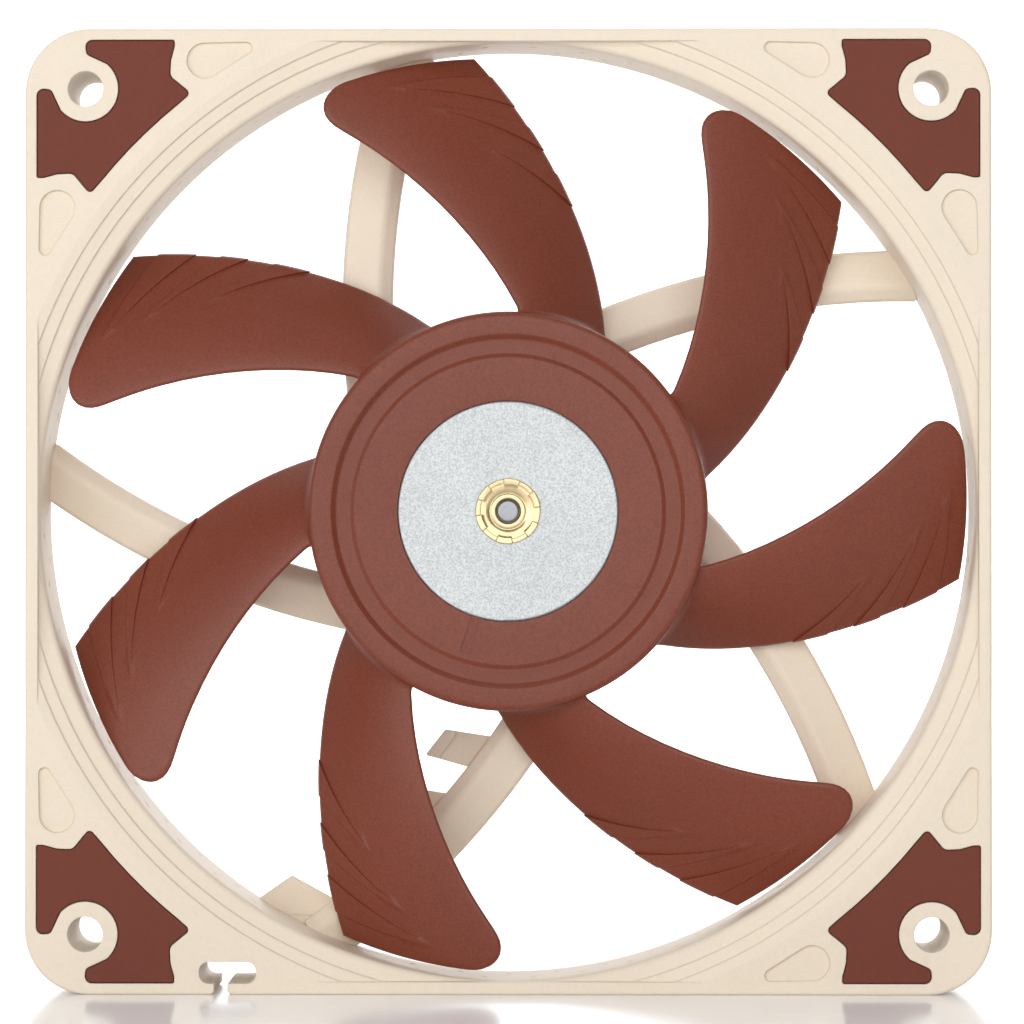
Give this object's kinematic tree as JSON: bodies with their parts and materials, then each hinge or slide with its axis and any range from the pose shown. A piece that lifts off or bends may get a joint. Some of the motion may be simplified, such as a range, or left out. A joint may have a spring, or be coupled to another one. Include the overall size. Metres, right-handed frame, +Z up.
{
  "type": "computer case fan",
  "caption": "Slim square case fan: curved-blade impeller on a brushless hub motor inside a frame with a stepped intake lip, soft corner pads and curved rear struts",
  "frame": {"origin": "centre of the bounding box of the frame, on the rotor axis", "axes": "+Y runs along the rotor axis from the intake face to the exhaust face; +Z is up; +X is to the right when looking at the intake face"},
  "size_m": [0.12, 0.015, 0.12],
  "materials": {
    "frame_plastic": "fine moulded texture, cream",
    "pad_rubber": "soft matt silicone, red brown",
    "impeller_plastic": "glass-filled moulding, red brown, satin",
    "brass": "turned",
    "bearing_metal": "sintered",
    "yoke_steel": "galvanised, fine speckle",
    "shaft_steel": "ground",
    "lamination_steel": "stacked laminations",
    "magnet": "bonded ferrite",
    "insulator_plastic": "moulded",
    "copper_winding": "enamelled copper wire",
    "circuit_board": "solder mask",
    "component_ceramic": "ceramic chip parts",
    "tinned_metal": "tin plated",
    "dark_plastic": "moulded black",
    "label": "plain satin film, no text",
    "wire_black": "insulation",
    "wire_yellow": "insulation",
    "wire_green": "insulation",
    "wire_blue": "insulation"
  },
  "bodies": {
    "frame": {"frame_housing": "frame_plastic", "pad_front_top_right": "pad_rubber", "pad_front_top_left": "pad_rubber", "pad_front_bottom_left": "pad_rubber", "pad_front_bottom_right": "pad_rubber", "pad_rear_top_right": "pad_rubber", "pad_rear_top_left": "pad_rubber", "pad_rear_bottom_left": "pad_rubber", "pad_rear_bottom_right": "pad_rubber", "bearing_tube": "brass", "bearing_sleeve": "bearing_metal", "oil_seal": "dark_plastic", "thrust_pad": "dark_plastic", "bearing_magnet": "magnet", "rear_label": "label", "stator_core": "lamination_steel", "insulator_front": "insulator_plastic", "insulator_rear": "insulator_plastic", "coil_1": "copper_winding", "coil_2": "copper_winding", "coil_3": "copper_winding", "coil_4": "copper_winding", "winding_pins": "tinned_metal", "circuit_board": "circuit_board", "driver_chip": "dark_plastic", "board_components": "component_ceramic", "wire_black": "wire_black", "wire_yellow": "wire_yellow", "wire_green": "wire_green", "wire_blue": "wire_blue", "connector_housing": "dark_plastic", "connector_terminals": "tinned_metal"},
    "rotor": {"impeller": "impeller_plastic", "rotor_yoke": "yoke_steel", "ring_magnet": "magnet", "shaft_collar": "brass", "shaft": "shaft_steel", "shaft_clip": "shaft_steel"}
  },
  "joints": [
    {"name": "rotor_spin", "type": "hinge", "parent": "frame", "child": "rotor", "pos_m": [0, 0, 0], "axis": [0, -1, 0], "continuous": true}
  ]
}
